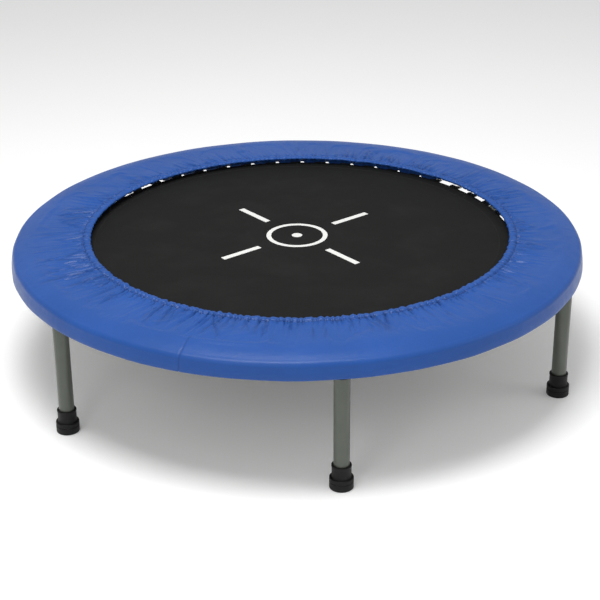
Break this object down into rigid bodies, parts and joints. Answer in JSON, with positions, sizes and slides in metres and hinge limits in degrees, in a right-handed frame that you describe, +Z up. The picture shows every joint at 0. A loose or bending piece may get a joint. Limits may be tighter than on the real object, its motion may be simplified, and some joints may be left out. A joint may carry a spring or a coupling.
{
  "type": "mini trampoline",
  "caption": "Low round mini trampoline with a spring-hung jumping mat, a padded gathered frame cover and screw-in tube legs with rubber feet.",
  "frame": {"origin": "on the floor, under the centre of the mat", "axes": "+Z up; one leg stands on the -Y axis, and the others follow every 60 degrees"},
  "size_m": [0.976, 0.9836, 0.2348],
  "materials": {
    "frame_steel": "semi-gloss grey-green powder coat",
    "leg_paint": "semi-gloss grey-green powder coat",
    "spring_steel": "zinc plated",
    "foot_rubber": "matt moulded",
    "mat_fabric": "tight black weave",
    "webbing": "black webbing",
    "cover_fabric": "coated royal blue cloth with a soft sheen",
    "foam": "closed-cell foam",
    "elastic": "braided elastic"
  },
  "bodies": {
    "frame": {"frame_ring": "frame_steel", "frame_cover": "cover_fabric", "foam_ring": "foam", "hem_elastic": "elastic", "spring_02": "spring_steel", "spring_03": "spring_steel", "spring_04": "spring_steel", "spring_06": "spring_steel", "spring_07": "spring_steel", "spring_08": "spring_steel", "spring_10": "spring_steel", "spring_11": "spring_steel", "spring_12": "spring_steel", "spring_14": "spring_steel", "spring_15": "spring_steel", "spring_16": "spring_steel", "spring_18": "spring_steel", "spring_19": "spring_steel", "spring_20": "spring_steel", "spring_22": "spring_steel", "spring_23": "spring_steel", "spring_24": "spring_steel", "spring_26": "spring_steel", "spring_27": "spring_steel", "spring_28": "spring_steel", "spring_30": "spring_steel", "spring_31": "spring_steel", "spring_32": "spring_steel", "spring_34": "spring_steel", "spring_35": "spring_steel", "spring_36": "spring_steel", "spring_38": "spring_steel", "spring_39": "spring_steel", "spring_40": "spring_steel", "spring_42": "spring_steel", "spring_43": "spring_steel", "spring_44": "spring_steel", "spring_46": "spring_steel", "spring_47": "spring_steel", "spring_48": "spring_steel"},
    "mat": {"jumping_mat": "mat_fabric", "mat_edge_webbing": "webbing"},
    "leg_1_insert": {"leg_insert_1": "spring_steel"},
    "leg_1": {"leg_tube_1": "leg_paint", "rubber_foot_1": "foot_rubber"},
    "leg_2_insert": {"leg_insert_2": "spring_steel"},
    "leg_2": {"leg_tube_2": "leg_paint", "rubber_foot_2": "foot_rubber"},
    "leg_3_insert": {"leg_insert_3": "spring_steel"},
    "leg_3": {"leg_tube_3": "leg_paint", "rubber_foot_3": "foot_rubber"},
    "leg_4_insert": {"leg_insert_4": "spring_steel"},
    "leg_4": {"leg_tube_4": "leg_paint", "rubber_foot_4": "foot_rubber"},
    "leg_5_insert": {"leg_insert_5": "spring_steel"},
    "leg_5": {"leg_tube_5": "leg_paint", "rubber_foot_5": "foot_rubber"},
    "leg_6_insert": {"leg_insert_6": "spring_steel"},
    "leg_6": {"leg_tube_6": "leg_paint", "rubber_foot_6": "foot_rubber"}
  },
  "joints": [
    {"name": "mat_bounce", "type": "slide", "parent": "frame", "child": "mat", "axis": [0, 0, 1], "range_m": [-0.08, 0], "stiffness_N_per_m": 9000, "deforming": ["spring_02", "spring_03", "spring_04", "spring_06", "spring_07", "spring_08", "spring_10", "spring_11", "spring_12", "spring_14", "spring_15", "spring_16", "spring_18", "spring_19", "spring_20", "spring_22", "spring_23", "spring_24", "spring_26", "spring_27", "spring_28", "spring_30", "spring_31", "spring_32", "spring_34", "spring_35", "spring_36", "spring_38", "spring_39", "spring_40", "spring_42", "spring_43", "spring_44", "spring_46", "spring_47", "spring_48"]},
    {"name": "leg_1_travel", "type": "slide", "parent": "frame", "child": "leg_1_insert", "axis": [0, 0, 1], "range_m": [-0.024, 0]},
    {"name": "leg_1_turn", "type": "hinge", "parent": "leg_1_insert", "child": "leg_1", "pos_m": [0, -0.473, 0.19], "axis": [0, 0, 1], "range_deg": [-5761, 0]},
    {"name": "leg_2_travel", "type": "slide", "parent": "frame", "child": "leg_2_insert", "axis": [0, 0, 1], "range_m": [-0.024, 0]},
    {"name": "leg_2_turn", "type": "hinge", "parent": "leg_2_insert", "child": "leg_2", "pos_m": [0.40963, -0.2365, 0.19], "axis": [0, 0, 1], "range_deg": [-5761, 0]},
    {"name": "leg_3_travel", "type": "slide", "parent": "frame", "child": "leg_3_insert", "axis": [0, 0, 1], "range_m": [-0.024, 0]},
    {"name": "leg_3_turn", "type": "hinge", "parent": "leg_3_insert", "child": "leg_3", "pos_m": [0.40963, 0.2365, 0.19], "axis": [0, 0, 1], "range_deg": [-5761, 0]},
    {"name": "leg_4_travel", "type": "slide", "parent": "frame", "child": "leg_4_insert", "axis": [0, 0, 1], "range_m": [-0.024, 0]},
    {"name": "leg_4_turn", "type": "hinge", "parent": "leg_4_insert", "child": "leg_4", "pos_m": [0, 0.473, 0.19], "axis": [0, 0, 1], "range_deg": [-5761, 0]},
    {"name": "leg_5_travel", "type": "slide", "parent": "frame", "child": "leg_5_insert", "axis": [0, 0, 1], "range_m": [-0.024, 0]},
    {"name": "leg_5_turn", "type": "hinge", "parent": "leg_5_insert", "child": "leg_5", "pos_m": [-0.40963, 0.2365, 0.19], "axis": [0, 0, 1], "range_deg": [-5761, 0]},
    {"name": "leg_6_travel", "type": "slide", "parent": "frame", "child": "leg_6_insert", "axis": [0, 0, 1], "range_m": [-0.024, 0]},
    {"name": "leg_6_turn", "type": "hinge", "parent": "leg_6_insert", "child": "leg_6", "pos_m": [-0.40963, -0.2365, 0.19], "axis": [0, 0, 1], "range_deg": [-5761, 0]}
  ],
  "couplings": [
    {"joint": "leg_1_turn", "follows": "leg_1_travel", "rad_per_m": 4188.8},
    {"joint": "leg_2_turn", "follows": "leg_2_travel", "rad_per_m": 4188.8},
    {"joint": "leg_3_turn", "follows": "leg_3_travel", "rad_per_m": 4188.8},
    {"joint": "leg_4_turn", "follows": "leg_4_travel", "rad_per_m": 4188.8},
    {"joint": "leg_5_turn", "follows": "leg_5_travel", "rad_per_m": 4188.8},
    {"joint": "leg_6_turn", "follows": "leg_6_travel", "rad_per_m": 4188.8}
  ]
}
